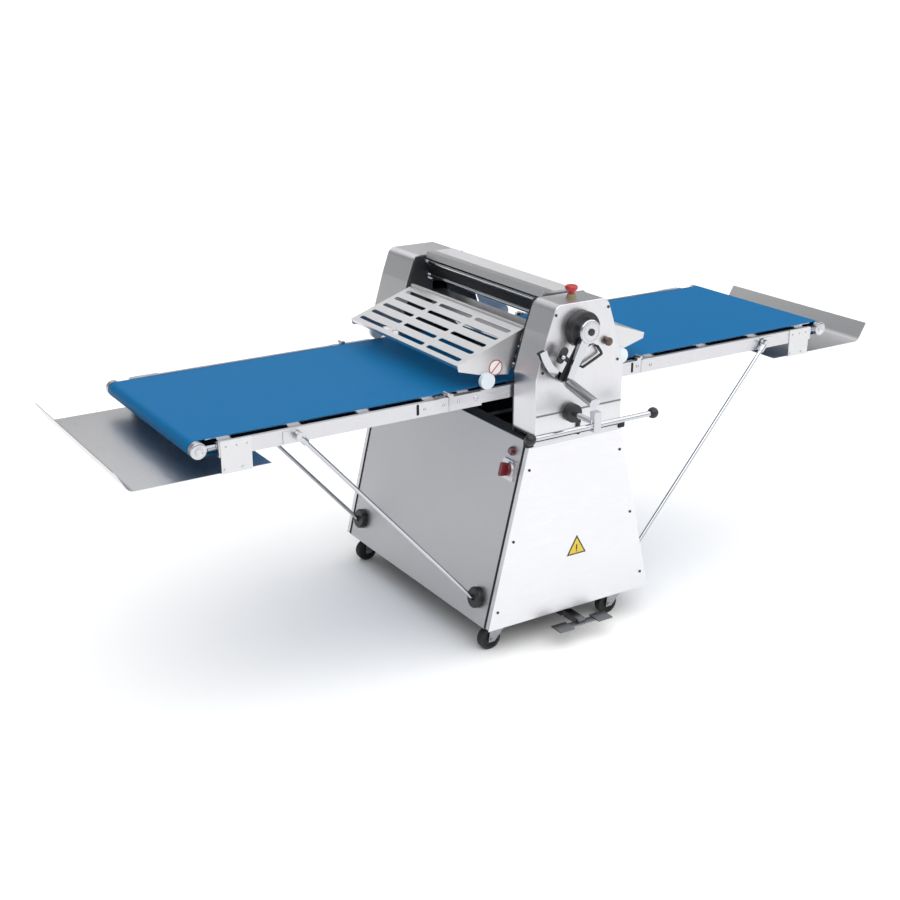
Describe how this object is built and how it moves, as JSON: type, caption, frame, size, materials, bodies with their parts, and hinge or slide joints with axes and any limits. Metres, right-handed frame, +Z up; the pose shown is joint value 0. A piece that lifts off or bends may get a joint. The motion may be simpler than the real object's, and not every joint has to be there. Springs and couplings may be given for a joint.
{
  "type": "dough sheeter",
  "caption": "Floor-standing dough sheeter: leaning pedestal on casters, roller head with slotted finger guards and levers, and folding belt tables with catch trays.",
  "frame": {"origin": "on the floor, below the middle of the machine's bounding box", "axes": "+X along the belts, to the right as seen from the operator's side (-Y); +Y away from the operator; +Z up"},
  "size_m": [2.82, 1.1822, 1.144],
  "materials": {
    "brushed_steel": "brushed stainless sheet",
    "rail_steel": "fine satin stainless",
    "polished_chrome": "polished",
    "lever_grip": "satin",
    "blue_belt": "fine woven belt",
    "black_plastic": "moulded",
    "dark_metal": "satin",
    "pedal_steel": "satin",
    "red_plastic": "moulded",
    "lamp_lens": "tinted lens",
    "switch_grey": "moulded",
    "yellow_plastic": "moulded",
    "nylon": "turned",
    "zinc_plate": "zinc plated",
    "caster_rubber": "moulded",
    "motor_grey": "enamel"
  },
  "bodies": {
    "pedestal": {"corner_posts": "rail_steel", "left_panel": "brushed_steel", "right_panel": "brushed_steel", "front_cover": "brushed_steel", "rear_cover": "brushed_steel", "base_plates": "dark_metal", "cover_screws": "polished_chrome", "cable_gland": "black_plastic", "head_cover_near": "brushed_steel", "head_cover_far": "brushed_steel", "side_plates": "brushed_steel", "tie_bars": "polished_chrome", "top_tray": "brushed_steel", "lower_scraper": "rail_steel", "brace_sockets": "black_plastic", "gap_quadrant": "polished_chrome", "direction_bracket": "dark_metal", "switch_plate": "switch_grey", "pilot_lamp": "lamp_lens", "estop_base": "yellow_plastic", "caster_plates": "zinc_plate", "drive_motor": "motor_grey", "left_inner_frame": "rail_steel", "left_inner_belt": "blue_belt", "right_inner_frame": "rail_steel", "right_inner_belt": "blue_belt"},
    "lower_roll": {"lower_roller": "polished_chrome"},
    "left_table": {"left_table_frame": "rail_steel", "left_table_belt": "blue_belt", "left_tray": "brushed_steel"},
    "left_struts": {"left_braces": "polished_chrome"},
    "left_end_roll": {"left_end_roller": "polished_chrome"},
    "left_drive_roll": {"left_drive_roller": "polished_chrome"},
    "left_finger_guard": {"left_guard": "brushed_steel", "left_guard_stops": "nylon"},
    "right_table": {"right_table_frame": "rail_steel", "right_table_belt": "blue_belt", "right_tray": "brushed_steel"},
    "right_struts": {"right_braces": "polished_chrome"},
    "right_end_roll": {"right_end_roller": "polished_chrome"},
    "right_drive_roll": {"right_drive_roller": "polished_chrome"},
    "right_finger_guard": {"right_guard": "brushed_steel", "right_guard_stops": "nylon"},
    "gap_handle": {"gap_lever": "polished_chrome", "gap_grip": "lever_grip"},
    "roll_carriage": {"upper_carriage": "rail_steel"},
    "upper_roll": {"upper_roller": "polished_chrome"},
    "rocker_bar": {"direction_bar": "polished_chrome", "direction_knobs": "black_plastic"},
    "pedal": {"foot_pedal": "pedal_steel"},
    "stop_button": {"estop_button": "red_plastic"},
    "main_switch": {"switch_knob": "red_plastic"},
    "fork_front_left": {"caster_fork_front_left": "zinc_plate"},
    "wheel_front_left": {"caster_wheel_front_left": "caster_rubber"},
    "fork_front_right": {"caster_fork_front_right": "zinc_plate"},
    "wheel_front_right": {"caster_wheel_front_right": "caster_rubber"},
    "fork_rear_left": {"caster_fork_rear_left": "zinc_plate"},
    "wheel_rear_left": {"caster_wheel_rear_left": "caster_rubber"},
    "fork_rear_right": {"caster_fork_rear_right": "zinc_plate"},
    "wheel_rear_right": {"caster_wheel_rear_right": "caster_rubber"}
  },
  "joints": [
    {"name": "lower_roller_spin", "type": "hinge", "parent": "pedestal", "child": "lower_roll", "pos_m": [0.019, 0.06625, 0.806], "axis": [0, 1, 0], "continuous": true},
    {"name": "left_table_fold", "type": "hinge", "parent": "pedestal", "child": "left_table", "pos_m": [-0.379, 0.06625, 0.85], "axis": [0, 1, 0], "range_deg": [0, 70]},
    {"name": "left_brace_swing", "type": "hinge", "parent": "left_table", "child": "left_struts", "pos_m": [-0.88, 0.06625, 0.82], "axis": [0, 1, 0], "range_deg": [-32, 0]},
    {"name": "left_end_roller_spin", "type": "hinge", "parent": "left_table", "child": "left_end_roll", "pos_m": [-1.169, 0.06625, 0.824], "axis": [0, 1, 0], "continuous": true},
    {"name": "left_drive_roller_spin", "type": "hinge", "parent": "pedestal", "child": "left_drive_roll", "pos_m": [-0.059, 0.06625, 0.824], "axis": [0, 1, 0], "continuous": true},
    {"name": "left_guard_lift", "type": "hinge", "parent": "pedestal", "child": "left_finger_guard", "pos_m": [-0.098, 0.06625, 1.011], "axis": [0, 1, 0], "range_deg": [0, 70]},
    {"name": "right_table_fold", "type": "hinge", "parent": "pedestal", "child": "right_table", "pos_m": [0.356, 0.06625, 0.85], "axis": [0, -1, 0], "range_deg": [0, 70]},
    {"name": "right_brace_swing", "type": "hinge", "parent": "right_table", "child": "right_struts", "pos_m": [0.891, 0.06625, 0.82], "axis": [0, -1, 0], "range_deg": [-32, 0]},
    {"name": "right_end_roller_spin", "type": "hinge", "parent": "right_table", "child": "right_end_roll", "pos_m": [1.181, 0.06625, 0.824], "axis": [0, 1, 0], "continuous": true},
    {"name": "right_drive_roller_spin", "type": "hinge", "parent": "pedestal", "child": "right_drive_roll", "pos_m": [0.097, 0.06625, 0.824], "axis": [0, 1, 0], "continuous": true},
    {"name": "right_guard_lift", "type": "hinge", "parent": "pedestal", "child": "right_finger_guard", "pos_m": [0.136, 0.06625, 1.011], "axis": [0, -1, 0], "range_deg": [0, 70]},
    {"name": "gap_lever_turn", "type": "hinge", "parent": "pedestal", "child": "gap_handle", "pos_m": [0.011, -0.43375, 1.025], "axis": [0, 1, 0], "range_deg": [-9.6, 38.3]},
    {"name": "upper_roller_lift", "type": "slide", "parent": "pedestal", "child": "roll_carriage", "axis": [0, 0, 1], "range_m": [-0.007, 0.028]},
    {"name": "upper_roller_spin", "type": "hinge", "parent": "roll_carriage", "child": "upper_roll", "pos_m": [0.019, 0.06625, 0.902], "axis": [0, 1, 0], "continuous": true},
    {"name": "direction_tilt", "type": "hinge", "parent": "pedestal", "child": "rocker_bar", "pos_m": [-0.015, -0.50875, 0.765], "axis": [0, 1, 0], "range_deg": [-10, 10]},
    {"name": "pedal_tilt", "type": "hinge", "parent": "pedestal", "child": "pedal", "pos_m": [0.022, -0.38375, 0.062], "axis": [0, 1, 0], "range_deg": [-10, 10]},
    {"name": "estop_press", "type": "slide", "parent": "pedestal", "child": "stop_button", "axis": [0, 0, -1], "range_m": [0, 0.004], "stiffness_N_per_m": 1500},
    {"name": "switch_turn", "type": "hinge", "parent": "pedestal", "child": "main_switch", "pos_m": [-0.19931, -0.32275, 0.59082], "axis": [-0.972, 0, 0.2349], "range_deg": [0, 90]},
    {"name": "caster_swivel_front_left", "type": "hinge", "parent": "pedestal", "child": "fork_front_left", "pos_m": [-0.224, -0.33375, 0.09], "axis": [0, 0, 1], "continuous": true},
    {"name": "caster_roll_front_left", "type": "hinge", "parent": "fork_front_left", "child": "wheel_front_left", "pos_m": [-0.264, -0.33375, 0.0375], "axis": [0, 1, 0], "continuous": true},
    {"name": "caster_swivel_front_right", "type": "hinge", "parent": "pedestal", "child": "fork_front_right", "pos_m": [0.246, -0.33375, 0.09], "axis": [0, 0, 1], "continuous": true},
    {"name": "caster_roll_front_right", "type": "hinge", "parent": "fork_front_right", "child": "wheel_front_right", "pos_m": [0.206, -0.33375, 0.0375], "axis": [0, 1, 0], "continuous": true},
    {"name": "caster_swivel_rear_left", "type": "hinge", "parent": "pedestal", "child": "fork_rear_left", "pos_m": [-0.224, 0.46625, 0.09], "axis": [0, 0, 1], "continuous": true},
    {"name": "caster_roll_rear_left", "type": "hinge", "parent": "fork_rear_left", "child": "wheel_rear_left", "pos_m": [-0.264, 0.46625, 0.0375], "axis": [0, 1, 0], "continuous": true},
    {"name": "caster_swivel_rear_right", "type": "hinge", "parent": "pedestal", "child": "fork_rear_right", "pos_m": [0.246, 0.46625, 0.09], "axis": [0, 0, 1], "continuous": true},
    {"name": "caster_roll_rear_right", "type": "hinge", "parent": "fork_rear_right", "child": "wheel_rear_right", "pos_m": [0.206, 0.46625, 0.0375], "axis": [0, 1, 0], "continuous": true}
  ],
  "couplings": [
    {"joint": "left_brace_swing", "follows": "left_table_fold", "ratio": -0.4074},
    {"joint": "left_drive_roller_spin", "follows": "lower_roller_spin", "ratio": 1.8333},
    {"joint": "left_end_roller_spin", "follows": "lower_roller_spin", "ratio": 1.8333},
    {"joint": "right_brace_swing", "follows": "right_table_fold", "ratio": -0.4153},
    {"joint": "right_drive_roller_spin", "follows": "lower_roller_spin", "ratio": 1.8333},
    {"joint": "right_end_roller_spin", "follows": "lower_roller_spin", "ratio": 1.8333},
    {"joint": "gap_lever_turn", "follows": "upper_roller_lift", "rad_per_m": 23.8},
    {"joint": "upper_roller_spin", "follows": "lower_roller_spin", "ratio": -1},
    {"joint": "pedal_tilt", "follows": "direction_tilt", "ratio": 1}
  ]
}
